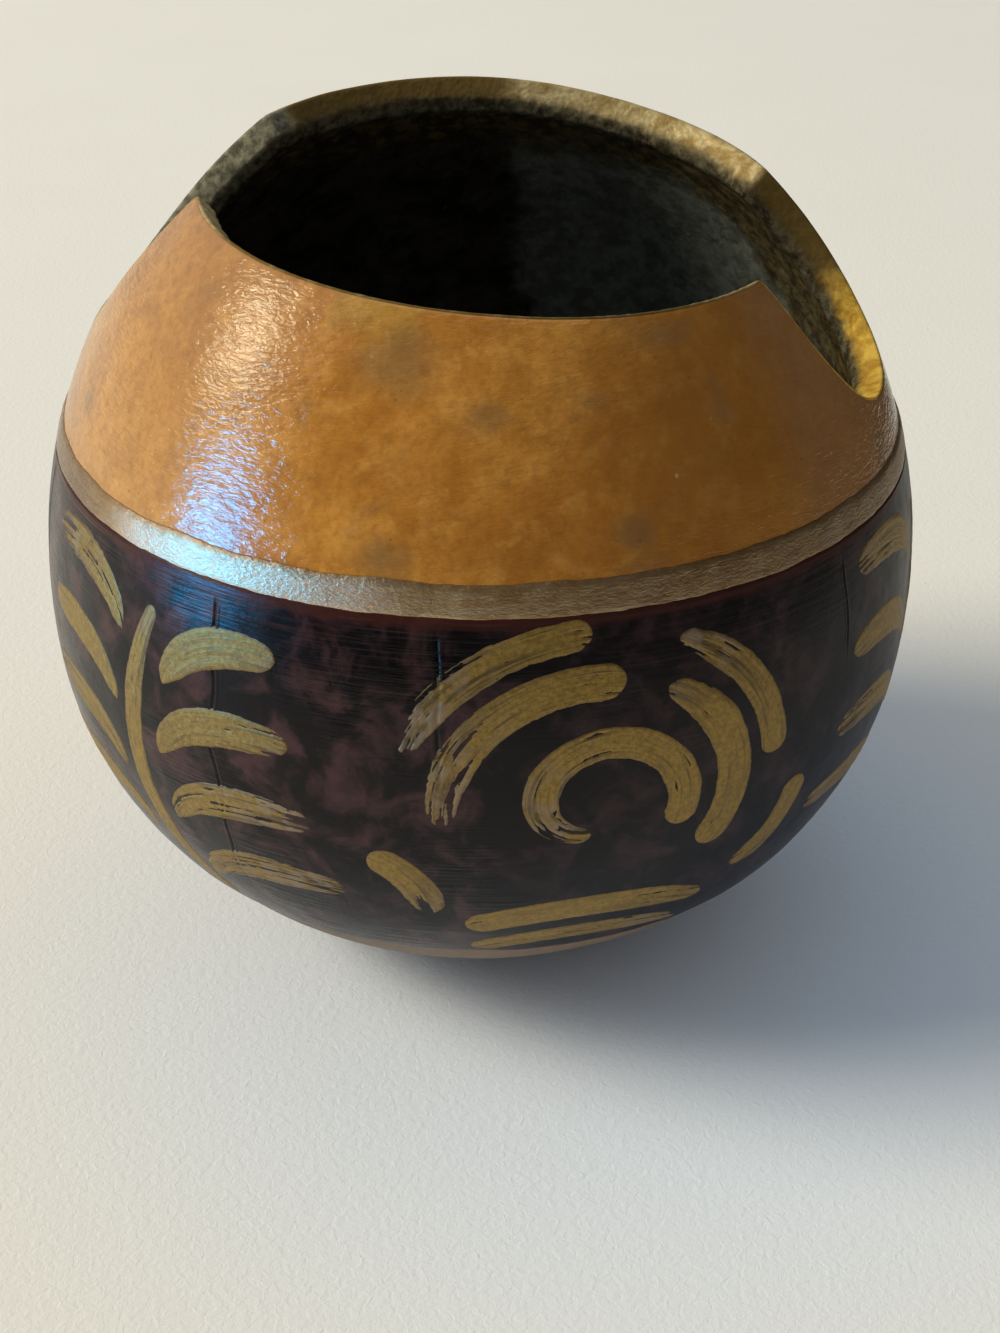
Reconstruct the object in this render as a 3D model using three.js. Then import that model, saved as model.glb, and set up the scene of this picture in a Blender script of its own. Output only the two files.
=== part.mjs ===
// A gourd bowl: one grown shell, cut open at the top, with two scooped notches in its rim.
// The lower outside is lacquered, a silver band runs above the lacquer, the cut rim is gilded,
// the inside is coated dark, and a gold brushwork frieze is painted on the lacquer.
// Millimetres, +Z up. The origin is the middle of the flat seat, and -Y is the front.
import * as THREE from "three";

// The gourd's own shape.
const overallDiameter = 115;
const widestHeight = 50.5;
const seatRadius = 10;
const bottomFullness = 2.2;
const mouthHeight = 102;
const mouthRadius = 35.8;
const wallThickness = 4;

// The mouth was sawn a little out of level, highest at the back left. It also stands a little
// proud of its mean height at the front and the back, and as much below it at the sides.
const mouthRise = 4.3;
const mouthRiseAzimuth = degrees(-145);
const mouthWave = 0.75;

// Two notches are scooped out of the rim, right and left. Each floor is a height above the band.
const notchRoundness = 3;
const rightNotch = { azimuth: degrees(87), halfAngle: degrees(25.9), floorAboveBand: 6.6 };
const leftNotch = { azimuth: degrees(-88.75), halfAngle: degrees(22.25), floorAboveBand: 9.2 };

// The painted layers. Widths are measured along the skin.
const coatThickness = 0.25;
const bandHeight = 69.8;
const bandWidth = 3.9;
const lacquerFootHeight = 19;

// The frieze: motifs drawn in a box of this size, then fitted between the lacquer's two edges and
// within their sectors round the bowl.
const motifWidth = 50;
const motifHeight = 50;
const motifCount = 6;
const motifGap = 5;
const friezeMargin = 1.5;
const friezeTurn = degrees(23);
const strokeThickness = 0.25;
const strokeClearance = 0.12;
const strokeStep = 3.2;
const strokeFewestSteps = 6;

// How finely the round surfaces are divided.
const lipSteps = 18;
const notchSteps = 10;
const undersideRows = 4;
const lacquerRows = 6;
const innerRows = 6;
const shoulderRows = 4;

// Sizes that follow from those above.
const bodyRadius = overallDiameter / 2 - coatThickness;
const liningDepth = wallThickness + coatThickness;
const bottomDrop =
  widestHeight / (1 - (seatRadius / bodyRadius) ** bottomFullness) ** (1 / bottomFullness);
const crownRise = (mouthHeight - widestHeight) / Math.sqrt(1 - (mouthRadius / bodyRadius) ** 2);

function degrees(angle) {
  return THREE.MathUtils.degToRad(angle);
}

// The skin's radius and outward slope at a height: an ellipse above the widest ring, and a
// fuller curve below it.
function skinAt(height) {
  const above = height > widestHeight;
  const power = above ? 2 : bottomFullness;
  const reach = above ? crownRise : bottomDrop;
  const share = Math.min(Math.abs(height - widestHeight) / reach, 1);
  const radius = bodyRadius * (1 - share ** power) ** (1 / power);
  const sideways = (radius / bodyRadius) ** (power - 1) / bodyRadius;
  const upward = (Math.sign(height - widestHeight) * share ** (power - 1)) / reach;
  const length = Math.hypot(sideways, upward);
  return { radius, outward: sideways / length, up: upward / length };
}

// The meridian as a fine walk from the seat's edge upwards, which turns heights into arc lengths.
function walkMeridian(topHeight, steps) {
  const walk = [{ height: 0, arc: 0 }];
  let last = skinAt(0);
  for (let i = 1; i <= steps; i++) {
    const height = topHeight * (0.5 - 0.5 * Math.cos((Math.PI * i) / steps));
    const here = skinAt(height);
    const before = walk[i - 1];
    const stride = Math.hypot(here.radius - last.radius, height - before.height);
    walk.push({ height, arc: before.arc + stride });
    last = here;
  }
  return walk;
}

const highestLip = mouthHeight + mouthRise + mouthWave;
const meridianSteps = 2000;
const meridian = walkMeridian(highestLip + wallThickness, meridianSteps);

function lookUp(value, from, to) {
  let low = 0;
  let high = meridian.length - 1;
  while (high - low > 1) {
    const middle = (low + high) >> 1;
    if (meridian[middle][from] <= value) low = middle;
    else high = middle;
  }
  const share = (value - meridian[low][from]) / (meridian[high][from] - meridian[low][from]);
  return meridian[low][to] + share * (meridian[high][to] - meridian[low][to]);
}

const arcAt = (height) => lookUp(height, "height", "arc");
const heightAt = (arc) => lookUp(arc, "arc", "height");

// A point at an azimuth counted from the front towards the right, an arc length up from the
// seat's edge, and a depth below the bare skin, which is negative for paint on top of it.
function skinPoint(azimuth, arc, depth) {
  const height = heightAt(arc);
  const skin = skinAt(height);
  const radius = skin.radius - depth * skin.outward;
  return new THREE.Vector3(
    radius * Math.sin(azimuth),
    -radius * Math.cos(azimuth),
    height - depth * skin.up,
  );
}

// Arc lengths of the layers' edges.
const lacquerFootArc = arcAt(lacquerFootHeight);
const bandFootArc = arcAt(bandHeight);
const bandTopArc = bandFootArc + bandWidth;

function lipHeight(azimuth) {
  const tilt = mouthRise * Math.cos(azimuth - mouthRiseAzimuth);
  return mouthHeight + tilt + mouthWave * Math.cos(2 * azimuth);
}

// A notch dips from the lip at its two corners to its floor in the middle.
function notchDrop(notch, azimuth) {
  const turn = THREE.MathUtils.euclideanModulo(azimuth - notch.azimuth + Math.PI, 2 * Math.PI);
  const share = Math.abs(turn - Math.PI) / notch.halfAngle;
  if (share >= 1) return 0;
  const floor = heightAt(bandTopArc) + notch.floorAboveBand;
  return (lipHeight(notch.azimuth) - floor) * (1 - share ** notchRoundness);
}

function rimArc(azimuth) {
  const drop = notchDrop(rightNotch, azimuth) + notchDrop(leftNotch, azimuth);
  return arcAt(lipHeight(azimuth) - drop);
}

// The columns round the bowl: equal steps in each lip and each notch, so every corner of the
// rim falls on a column.
function columnAzimuths() {
  const corners = [
    [leftNotch.azimuth + leftNotch.halfAngle, lipSteps],
    [rightNotch.azimuth - rightNotch.halfAngle, notchSteps],
    [rightNotch.azimuth + rightNotch.halfAngle, lipSteps],
    [leftNotch.azimuth - leftNotch.halfAngle + 2 * Math.PI, notchSteps],
    [leftNotch.azimuth + leftNotch.halfAngle + 2 * Math.PI, 0],
  ];
  const azimuths = [];
  for (let i = 0; i + 1 < corners.length; i++) {
    const [start, steps] = corners[i];
    const end = corners[i + 1][0];
    for (let k = 0; k < steps; k++) azimuths.push(start + ((end - start) * k) / steps);
  }
  return azimuths;
}

const columns = columnAzimuths().map((azimuth) => ({ azimuth, rim: rimArc(azimuth) }));

// Rows of a layer: each gives the arc length at a column.
function levelRows(fromArc, toArc, steps) {
  const rows = [];
  for (let i = 0; i <= steps; i++) rows.push(() => fromArc + ((toArc - fromArc) * i) / steps);
  return rows;
}

function rowsUpToRim() {
  const rows = [];
  for (let i = 1; i <= shoulderRows; i++)
    rows.push((column) => bandTopArc + ((column.rim - bandTopArc) * i) / shoulderRows);
  return rows;
}

const outerRows = [
  ...levelRows(0, lacquerFootArc, undersideRows),
  ...levelRows(lacquerFootArc, bandFootArc, lacquerRows).slice(1),
  () => bandTopArc,
  ...rowsUpToRim(),
];
const liningRows = [...levelRows(0, bandTopArc, innerRows), ...rowsUpToRim()];

// A mesh under construction: corner points, and the triangles between them.
class Surface {
  constructor() {
    this.points = [];
    this.faces = [];
  }

  add(point) {
    this.points.push(point.x, point.y, point.z);
    return this.points.length / 3 - 1;
  }

  ring(arcOf, depth) {
    return columns.map((column) => this.add(skinPoint(column.azimuth, arcOf(column), depth)));
  }

  // The strip between two rings. It faces outwards when the second ring is the upper one.
  strip(lower, upper) {
    const count = lower.length;
    for (let i = 0; i < count; i++) {
      const next = (i + 1) % count;
      this.faces.push(lower[i], lower[next], upper[next], lower[i], upper[next], upper[i]);
    }
  }

  // The same strip with the same diagonals, seen from its other side.
  backStrip(lower, upper) {
    const count = lower.length;
    for (let i = 0; i < count; i++) {
      const next = (i + 1) % count;
      this.faces.push(lower[i], upper[next], lower[next], lower[i], upper[i], upper[next]);
    }
  }

  disc(ring, depth, facesDown) {
    const height = skinPoint(0, 0, depth).z;
    const centre = this.add(new THREE.Vector3(0, 0, height));
    for (let i = 0; i < ring.length; i++) {
      const next = (i + 1) % ring.length;
      if (facesDown) this.faces.push(centre, ring[next], ring[i]);
      else this.faces.push(centre, ring[i], ring[next]);
    }
  }

  geometry() {
    const geometry = new THREE.BufferGeometry();
    geometry.setAttribute("position", new THREE.Float32BufferAttribute(this.points, 3));
    geometry.setIndex(this.faces);
    geometry.computeVertexNormals();
    return geometry;
  }
}

// A layer that lines the bowl from the seat to the rim, between two depths.
function fullLayer(frontRows, frontDepth, backRows, backDepth) {
  const surface = new Surface();
  const front = frontRows.map((arcOf) => surface.ring(arcOf, frontDepth));
  const back = backRows.map((arcOf) => surface.ring(arcOf, backDepth));
  for (let i = 1; i < front.length; i++) surface.strip(front[i - 1], front[i]);
  for (let i = 1; i < back.length; i++) surface.backStrip(back[i - 1], back[i]);
  surface.strip(front.at(-1), back.at(-1));
  surface.disc(front[0], frontDepth, true);
  surface.disc(back[0], backDepth, false);
  return surface.geometry();
}

// A coat on the outside of the shell, with an edge below and an edge above.
function outerCoat(rows) {
  const surface = new Surface();
  const front = rows.map((arcOf) => surface.ring(arcOf, -coatThickness));
  const back = rows.map((arcOf) => surface.ring(arcOf, 0));
  for (let i = 1; i < rows.length; i++) {
    surface.strip(front[i - 1], front[i]);
    surface.backStrip(back[i - 1], back[i]);
  }
  surface.strip(front.at(-1), back.at(-1));
  surface.strip(back[0], front[0]);
  return surface.geometry();
}

// A coat on the cut rim. Its top is raised square to the rim's line within the skin.
function rimCoat() {
  const surface = new Surface();
  const outer = surface.ring((column) => column.rim, 0);
  const joint = surface.ring((column) => column.rim, wallThickness);
  const inner = surface.ring((column) => column.rim, liningDepth);
  const raised = columns.map((_, i) => raisedRimPoint(i));
  const topOf = (depth) => raised.map(({ azimuth, arc }) => surface.add(skinPoint(azimuth, arc, depth)));
  const topOuter = topOf(0);
  const topInner = topOf(liningDepth);
  surface.strip(outer, topOuter);
  surface.strip(topOuter, topInner);
  surface.strip(topInner, inner);
  surface.backStrip(outer, joint);
  surface.backStrip(joint, inner);
  return surface.geometry();
}

function raisedRimPoint(index) {
  const count = columns.length;
  const here = columns[index];
  const radius = skinAt(heightAt(here.rim)).radius;
  const towards = (other) => {
    const turn = THREE.MathUtils.euclideanModulo(other.azimuth - here.azimuth + Math.PI, 2 * Math.PI);
    return new THREE.Vector2((turn - Math.PI) * radius, other.rim - here.rim).normalize();
  };
  const ahead = towards(columns[(index + 1) % count]);
  const behind = towards(columns[(index + count - 1) % count]);
  const upAhead = new THREE.Vector2(-ahead.y, ahead.x);
  const upBehind = new THREE.Vector2(behind.y, -behind.x);
  const middle = upAhead.clone().add(upBehind).normalize();
  const reach = coatThickness / middle.dot(upAhead);
  return {
    azimuth: here.azimuth + (middle.x * reach) / radius,
    arc: here.rim + middle.y * reach,
  };
}

// Brush strokes are drawn in a motif's own box, x to the right and y up from its middle.
// A bent stroke runs by way of a control point, and a swept one round a centre.
function bentStroke(name, start, control, end, width, shape) {
  const curve = new THREE.QuadraticBezierCurve(
    new THREE.Vector2(...start),
    new THREE.Vector2(...control),
    new THREE.Vector2(...end),
  );
  return { name, at: (t) => curve.getPoint(t), width, shape };
}

function sweptStroke(name, centre, radii, angles, width) {
  const at = (t) => {
    const angle = degrees(THREE.MathUtils.lerp(angles[0], angles[1], t));
    const radius = THREE.MathUtils.lerp(radii[0], radii[1], t);
    return new THREE.Vector2(
      centre[0] + radius * Math.cos(angle),
      centre[1] + radius * Math.sin(angle),
    );
  };
  return { name, at, width, shape: "brush" };
}

// A fern: a bent stem with pairs of plump leaves.
function fernMotif() {
  const pairs = 4;
  const pitch = 10.3;
  const strokes = [bentStroke("stem", [4, -25], [-6, -2], [3, 21], 3.2, "brush")];
  for (let i = 0; i < pairs; i++) {
    const y = -19 + pitch * i;
    const bow = 3 * Math.sin((Math.PI * (i + 0.6)) / (pairs + 0.2));
    const x = 6 - bow;
    const tip = 24.5 - 1.8 * i;
    strokes.push(bentStroke(`right_leaf_${i + 1}`, [x, y], [x + 3.5, y + 9], [tip, y + 7.4], 5.2, "leaf"));
  }
  for (let i = 0; i < pairs; i++) {
    const y = -15 + pitch * i;
    const bow = 3 * Math.sin((Math.PI * (i + 0.9)) / (pairs + 0.2));
    const x = -1.6 - bow;
    const tip = -24.5 + 1.8 * i;
    strokes.push(bentStroke(`left_leaf_${i + 1}`, [x, y], [x - 3, y + 8.4], [tip, y + 6.2], 5, "leaf"));
  }
  return strokes;
}

// A rolling scroll: a curl with broken rings round it, two low ripples and two side dabs.
function scrollMotif() {
  const eye = [-1, 3.5];
  const rippleCentre = [0, -42];
  return [
    sweptStroke("curl", eye, [10.2, 4.4], [-30, 262], 4.2),
    sweptStroke("near_ring_right", eye, [16, 15.6], [-38, 62], 4.6),
    sweptStroke("near_ring_left", eye, [15.4, 16.4], [80, 188], 4.6),
    sweptStroke("far_ring_right", eye, [21.3, 21.2], [2, 66], 3.8),
    sweptStroke("far_ring_left", eye, [21.3, 21.6], [92, 160], 4),
    sweptStroke("high_ripple", rippleCentre, [28, 27.6], [119, 60], 4.8),
    sweptStroke("low_ripple", rippleCentre, [21.6, 21.4], [124, 56], 4),
    bentStroke("left_dab", [-25, -4.5], [-19.5, -6.5], [-17.5, -14.5], 4.4, "brush"),
    bentStroke("right_dab", [25, -1.5], [23.5, -10.5], [17, -13.5], 4, "brush"),
  ];
}

// A stroke's half width: round where the brush lands, narrower where it lifts. A leaf starts
// thin, swells, and closes to a blunt point.
function halfWidth(stroke, t, length) {
  const half = stroke.width / 2;
  const lift = Math.max(t - 0.7, 0) / 0.3;
  const body =
    stroke.shape === "leaf" ? 0.34 + 0.66 * Math.sin(Math.PI * (t / 1.18) ** 0.9) : 1 - 0.45 * lift ** 1.5;
  const cap = (distance, radius) => Math.sqrt(1 - Math.max(1 - distance / radius, 0) ** 2);
  const rounded = cap(t * length, half) * cap((1 - t) * length, 0.7 * half);
  const bluntEnd = 0.3;
  return half * Math.max(body * rounded, bluntEnd);
}

// Places motif coordinates on the lacquer, centred in the sector and between the two edges.
const friezeMiddleArc = (lacquerFootArc + bandFootArc) / 2;
const friezeHeight = bandFootArc - lacquerFootArc - 2 * friezeMargin;
const sectorWidth = (2 * Math.PI * bodyRadius) / motifCount - motifGap;
const upScale = friezeHeight / motifHeight;
const acrossScale = sectorWidth / motifWidth;

function paintedPoint(sector, flat, depth) {
  const arc = friezeMiddleArc + flat.y * upScale;
  const radius = skinAt(heightAt(arc)).radius;
  const middle = friezeTurn + (2 * Math.PI * sector) / motifCount;
  return skinPoint(middle + (flat.x * acrossScale) / radius, arc, depth);
}

// A stroke as a thin ribbon of paint: four corners at each step along it.
function strokeGeometry(stroke, sector) {
  const measured = new THREE.Curve();
  measured.getPoint = stroke.at;
  const length = measured.getLength();
  const steps = Math.max(strokeFewestSteps, Math.round(length / strokeStep));
  const foot = -(coatThickness + strokeClearance);
  const top = foot - strokeThickness;
  const surface = new Surface();
  const corners = [];
  for (let i = 0; i <= steps; i++) {
    const t = i / steps;
    const middle = stroke.at(t);
    const along = measured.getTangent(t);
    const side = new THREE.Vector2(-along.y, along.x).multiplyScalar(halfWidth(stroke, t, length));
    const left = middle.clone().add(side);
    const right = middle.clone().sub(side);
    corners.push([
      surface.add(paintedPoint(sector, left, foot)),
      surface.add(paintedPoint(sector, right, foot)),
      surface.add(paintedPoint(sector, right, top)),
      surface.add(paintedPoint(sector, left, top)),
    ]);
  }
  for (let i = 0; i < steps; i++) surface.strip(corners[i + 1], corners[i]);
  closeEnd(surface, corners[0], false);
  closeEnd(surface, corners[steps], true);
  return surface.geometry();
}

function closeEnd(surface, [a, b, c, d], last) {
  if (last) surface.faces.push(a, c, b, a, d, c);
  else surface.faces.push(a, b, c, a, c, d);
}

// Finishes.
const varnishedGourd = new THREE.MeshStandardMaterial({ color: 0xb5712f, roughness: 0.35 });
const charcoalPaint = new THREE.MeshStandardMaterial({ color: 0x17191a, roughness: 0.85 });
const aubergineLacquer = new THREE.MeshStandardMaterial({ color: 0x25121a, roughness: 0.25 });
const silverPaint = new THREE.MeshStandardMaterial({ color: 0xa9a493, roughness: 0.45, metalness: 0.6 });
const goldPaint = new THREE.MeshStandardMaterial({ color: 0xa8893f, roughness: 0.5, metalness: 0.6 });

function piece(name, geometry, material) {
  const mesh = new THREE.Mesh(geometry, material);
  mesh.name = name;
  return mesh;
}

function shell() {
  return piece("gourd_shell", fullLayer(outerRows, 0, liningRows, wallThickness), varnishedGourd);
}

function lining() {
  const geometry = fullLayer(liningRows, wallThickness, liningRows, liningDepth);
  return piece("interior_coat", geometry, charcoalPaint);
}

function lacquer() {
  const rows = levelRows(lacquerFootArc, bandFootArc, lacquerRows);
  return piece("lacquer_coat", outerCoat(rows), aubergineLacquer);
}

function band() {
  return piece("silver_band", outerCoat([() => bandFootArc, () => bandTopArc]), silverPaint);
}

function gilding() {
  return piece("rim_gilding", rimCoat(), goldPaint);
}

function frieze() {
  const group = new THREE.Group();
  const motifs = [
    { name: "scroll", strokes: scrollMotif() },
    { name: "fern", strokes: fernMotif() },
  ];
  for (let sector = 0; sector < motifCount; sector++) {
    const motif = motifs[sector % motifs.length];
    const number = Math.floor(sector / motifs.length) + 1;
    for (const stroke of motif.strokes) {
      const name = `${motif.name}_${number}_${stroke.name}`;
      group.add(piece(name, strokeGeometry(stroke, sector), goldPaint));
    }
  }
  return group;
}

const bowl = new THREE.Group();
bowl.add(shell(), lining(), lacquer(), band(), gilding(), frieze());

export default bowl;
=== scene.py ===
"""A lacquered and gilded gourd bowl on a plain pale floor."""

import math
from math import radians

import bpy
import numpy as np
from mathutils import Matrix, Quaternion, Vector


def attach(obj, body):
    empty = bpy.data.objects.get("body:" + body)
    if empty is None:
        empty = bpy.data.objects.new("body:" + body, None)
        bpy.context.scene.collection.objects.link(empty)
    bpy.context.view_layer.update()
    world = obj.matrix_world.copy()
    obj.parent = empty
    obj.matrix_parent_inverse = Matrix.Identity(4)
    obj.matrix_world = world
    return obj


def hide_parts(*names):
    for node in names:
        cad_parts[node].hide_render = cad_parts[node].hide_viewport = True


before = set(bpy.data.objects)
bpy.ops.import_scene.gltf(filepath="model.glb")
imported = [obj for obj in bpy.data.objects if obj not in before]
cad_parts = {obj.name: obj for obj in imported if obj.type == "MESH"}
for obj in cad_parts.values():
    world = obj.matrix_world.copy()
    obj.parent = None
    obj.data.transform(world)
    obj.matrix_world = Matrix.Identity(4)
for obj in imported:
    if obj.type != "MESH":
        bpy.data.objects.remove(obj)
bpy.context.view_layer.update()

# Lengths are in millimetres and meshes are made in metres. Azimuth counts from the front, which is
# -Y, towards +X. Arc lengths run up the skin from the seat's edge, and depth runs into the shell.
MM = 0.001

# The gourd's own shape, as in the solid model.
OVERALL_DIAMETER = 115.0
WIDEST_HEIGHT = 50.5
SEAT_RADIUS = 10.0
BOTTOM_FULLNESS = 2.2
MOUTH_HEIGHT = 102.0
MOUTH_RADIUS = 35.8
WALL_THICKNESS = 4.0
MOUTH_RISE = 4.3
MOUTH_RISE_AZIMUTH = radians(-145)
MOUTH_WAVE = 0.75
NOTCH_ROUNDNESS = 3
RIGHT_NOTCH = dict(azimuth=radians(87), half_angle=radians(25.9), floor_above_band=6.6)
LEFT_NOTCH = dict(azimuth=radians(-88.75), half_angle=radians(22.25), floor_above_band=9.2)

# The painted layers.
COAT_THICKNESS = 0.25
BAND_HEIGHT = 69.8
BAND_WIDTH = 3.9
LACQUER_FOOT_HEIGHT = 19.0

# The frieze.
MOTIF_WIDTH = 50.0
MOTIF_HEIGHT = 50.0
MOTIF_COUNT = 6
MOTIF_GAP = 5.0
FRIEZE_MARGIN = 1.5
FRIEZE_TURN = radians(23)

# How finely the surfaces are divided.
LIP_STEPS = 190
NOTCH_STEPS = 130
RIM_FINENESS = 2
SKIN_STEP = 0.6
HIDDEN_STEP = 4.0
STROKE_STEP = 0.24
STROKE_CELLS = 24
WALK_STEPS = 6000
LACQUER_COLUMNS = 640
CRACK_COLUMNS = 50
BAND_COLUMNS = 1100

# How far the shell's hidden surfaces draw back under the layers on them.
CLEARANCE = 0.06

# Sizes that follow from those above.
BODY_RADIUS = OVERALL_DIAMETER / 2 - COAT_THICKNESS
LINING_DEPTH = WALL_THICKNESS + COAT_THICKNESS
BOTTOM_DROP = WIDEST_HEIGHT / (1 - (SEAT_RADIUS / BODY_RADIUS) ** BOTTOM_FULLNESS) ** (
    1 / BOTTOM_FULLNESS
)
CROWN_RISE = (MOUTH_HEIGHT - WIDEST_HEIGHT) / math.sqrt(1 - (MOUTH_RADIUS / BODY_RADIUS) ** 2)


class Noise:
    """Smooth seeded noise of 3-D points, about -1 to 1. Each octave is finer than the last by the
    ratio, half as strong, and shifted so that their cells don't line up."""

    gain, ratio, shift = 1.6, 2.03, 17.1

    def __init__(self, seed):
        draw = np.random.default_rng(seed)
        self.order = draw.permutation(256)
        slopes = draw.normal(size=(256, 3))
        self.slopes = slopes / np.linalg.norm(slopes, axis=1, keepdims=True)

    def single(self, points):
        cell = np.floor(points).astype(int)
        rest = points - cell
        fade = rest**3 * (rest * (rest * 6 - 15) + 10)
        total = np.zeros(points.shape[:-1])
        for corner in np.ndindex(2, 2, 2):
            x, y, z = np.moveaxis((cell + corner) & 255, -1, 0)
            pick = self.order[(self.order[(self.order[x] + y) & 255] + z) & 255]
            lean = ((rest - corner) * self.slopes[pick]).sum(-1)
            total += np.prod(np.where(corner, fade, 1 - fade), axis=-1) * lean
        return total * self.gain

    def __call__(self, points, octaves=1):
        total, weight = 0.0, 1.0
        for _ in range(octaves):
            total = total + weight * self.single(points)
            points = points * self.ratio + self.shift
            weight *= 0.5
        return total


def smooth_step(low, high, value):
    share = np.clip((value - low) / (high - low), 0, 1)
    return share * share * (3 - 2 * share)


def blend(start, end, share):
    return start + (end - start) * share


def joined(*coordinates):
    """Separate coordinates as one array of points."""
    return np.stack(np.broadcast_arrays(*coordinates), -1)


def turn_from(start, azimuth):
    """The turn from one azimuth to another, between half a turn back and half a turn on."""
    return np.mod(azimuth - start + np.pi, 2 * np.pi) - np.pi


def near(azimuth, middle, half):
    """1 near an azimuth in degrees, falling to 0 at half degrees away."""
    turn = np.abs(turn_from(radians(middle), azimuth))
    return smooth_step(radians(half), radians(half * 0.6), turn)


# The skin's shape.


def skin_at(height):
    """Radius and outward unit normal (sideways, up) of the bare skin at a height."""
    above = height > WIDEST_HEIGHT
    power = np.where(above, 2.0, BOTTOM_FULLNESS)
    reach = np.where(above, CROWN_RISE, BOTTOM_DROP)
    share = np.minimum(np.abs(height - WIDEST_HEIGHT) / reach, 1)
    radius = BODY_RADIUS * (1 - share**power) ** (1 / power)
    sideways = (radius / BODY_RADIUS) ** (power - 1) / BODY_RADIUS
    upward = np.sign(height - WIDEST_HEIGHT) * share ** (power - 1) / reach
    length = np.hypot(sideways, upward)
    return radius, sideways / length, upward / length


def walk_meridian(top_height, steps):
    height = top_height * (0.5 - 0.5 * np.cos(np.linspace(0, np.pi, steps)))
    radius = skin_at(height)[0]
    stride = np.hypot(np.diff(radius), np.diff(height))
    return height, np.concatenate([[0], np.cumsum(stride)])


HIGHEST_WALK = MOUTH_HEIGHT + MOUTH_RISE + MOUTH_WAVE + WALL_THICKNESS
WALK_HEIGHTS, WALK_ARCS = walk_meridian(HIGHEST_WALK, WALK_STEPS)


def arc_at(height):
    return np.interp(height, WALK_HEIGHTS, WALK_ARCS)


def height_at(arc):
    return np.interp(arc, WALK_ARCS, WALK_HEIGHTS)


def skin_point(azimuth, arc, depth):
    height = height_at(arc)
    radius, sideways, upward = skin_at(height)
    reach = radius - depth * sideways
    return joined(reach * np.sin(azimuth), -reach * np.cos(azimuth), height - depth * upward)


LACQUER_FOOT_ARC = float(arc_at(LACQUER_FOOT_HEIGHT))
BAND_FOOT_ARC = float(arc_at(BAND_HEIGHT))
BAND_TOP_ARC = BAND_FOOT_ARC + BAND_WIDTH


def lip_height(azimuth):
    tilt = MOUTH_RISE * np.cos(azimuth - MOUTH_RISE_AZIMUTH)
    return MOUTH_HEIGHT + tilt + MOUTH_WAVE * np.cos(2 * azimuth)


def notch_drop(notch, azimuth):
    share = np.minimum(np.abs(turn_from(notch["azimuth"], azimuth)) / notch["half_angle"], 1)
    floor = height_at(BAND_TOP_ARC) + notch["floor_above_band"]
    return (lip_height(notch["azimuth"]) - floor) * (1 - share**NOTCH_ROUNDNESS)


def rim_arc(azimuth):
    """The rim's arc length, with its four corners sanded a little round."""
    softness = radians(0.35)
    total, weights = 0.0, 0.0
    for offset in np.linspace(-2, 2, 9):
        weight = math.exp(-0.5 * offset**2)
        here = azimuth + softness * offset
        drop = notch_drop(RIGHT_NOTCH, here) + notch_drop(LEFT_NOTCH, here)
        total = total + weight * arc_at(lip_height(here) - drop)
        weights += weight
    return total / weights


def column_azimuths(fineness=1):
    """Columns round the bowl, in equal steps within each lip and each notch."""
    turn = 2 * math.pi
    left, right = LEFT_NOTCH, RIGHT_NOTCH
    corners = [
        left["azimuth"] + left["half_angle"],
        right["azimuth"] - right["half_angle"],
        right["azimuth"] + right["half_angle"],
        left["azimuth"] - left["half_angle"] + turn,
        left["azimuth"] + left["half_angle"] + turn,
    ]
    steps = [LIP_STEPS, NOTCH_STEPS, LIP_STEPS, NOTCH_STEPS]
    runs = [
        np.linspace(corners[i], corners[i + 1], steps[i] * fineness, endpoint=False)
        for i in range(len(steps))
    ]
    return np.concatenate(runs)


# Relief, as heights above the layer that carries it.

swell_noise = Noise(3)
brush_noise = Noise(11)
edge_noise = Noise(23)
pith_noise = Noise(31)
stroke_noise = Noise(47)

# Hairline cracks in the lacquer: azimuth, arc lengths of the two ends, depth, half width, and how
# far they wander sideways.
CRACKS = [
    dict(azimuth=radians(-24), low=52.0, high=94.0, depth=0.1, half=0.16, wander=0.9),
    dict(azimuth=radians(3.6), low=74.0, high=94.5, depth=0.17, half=0.2, wander=0.5),
    dict(azimuth=radians(58), low=80.0, high=94.0, depth=0.1, half=0.14, wander=0.5),
    dict(azimuth=radians(-68), low=76.0, high=95.0, depth=0.1, half=0.13, wander=1.4),
    dict(azimuth=radians(152), low=60.0, high=94.0, depth=0.12, half=0.16, wander=0.8),
    dict(azimuth=radians(-122), low=70.0, high=95.0, depth=0.1, half=0.15, wander=1.0),
]


def skin_swell(azimuth, arc):
    """The gourd's slow unevenness, which every layer follows."""
    place = skin_point(azimuth, arc, 0)
    broad = 0.16 * swell_noise(place / 26)
    middling = 0.07 * swell_noise(place / 9 + 5)
    fine = 0.02 * swell_noise(place / 3)
    return (broad + middling + fine) * smooth_step(0, 8, arc)


# How far apart a crack's bends are, the lengths over which its lower and upper ends fade, and the
# height and place of its raised lips as shares of its depth and half width.
CRACK_BEND = 9.0
CRACK_LOW_FADE, CRACK_HIGH_FADE = 5, 0.5
CRACK_LIP_HEIGHT, CRACK_LIP_OFFSET = 0.3, 2.4


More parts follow.
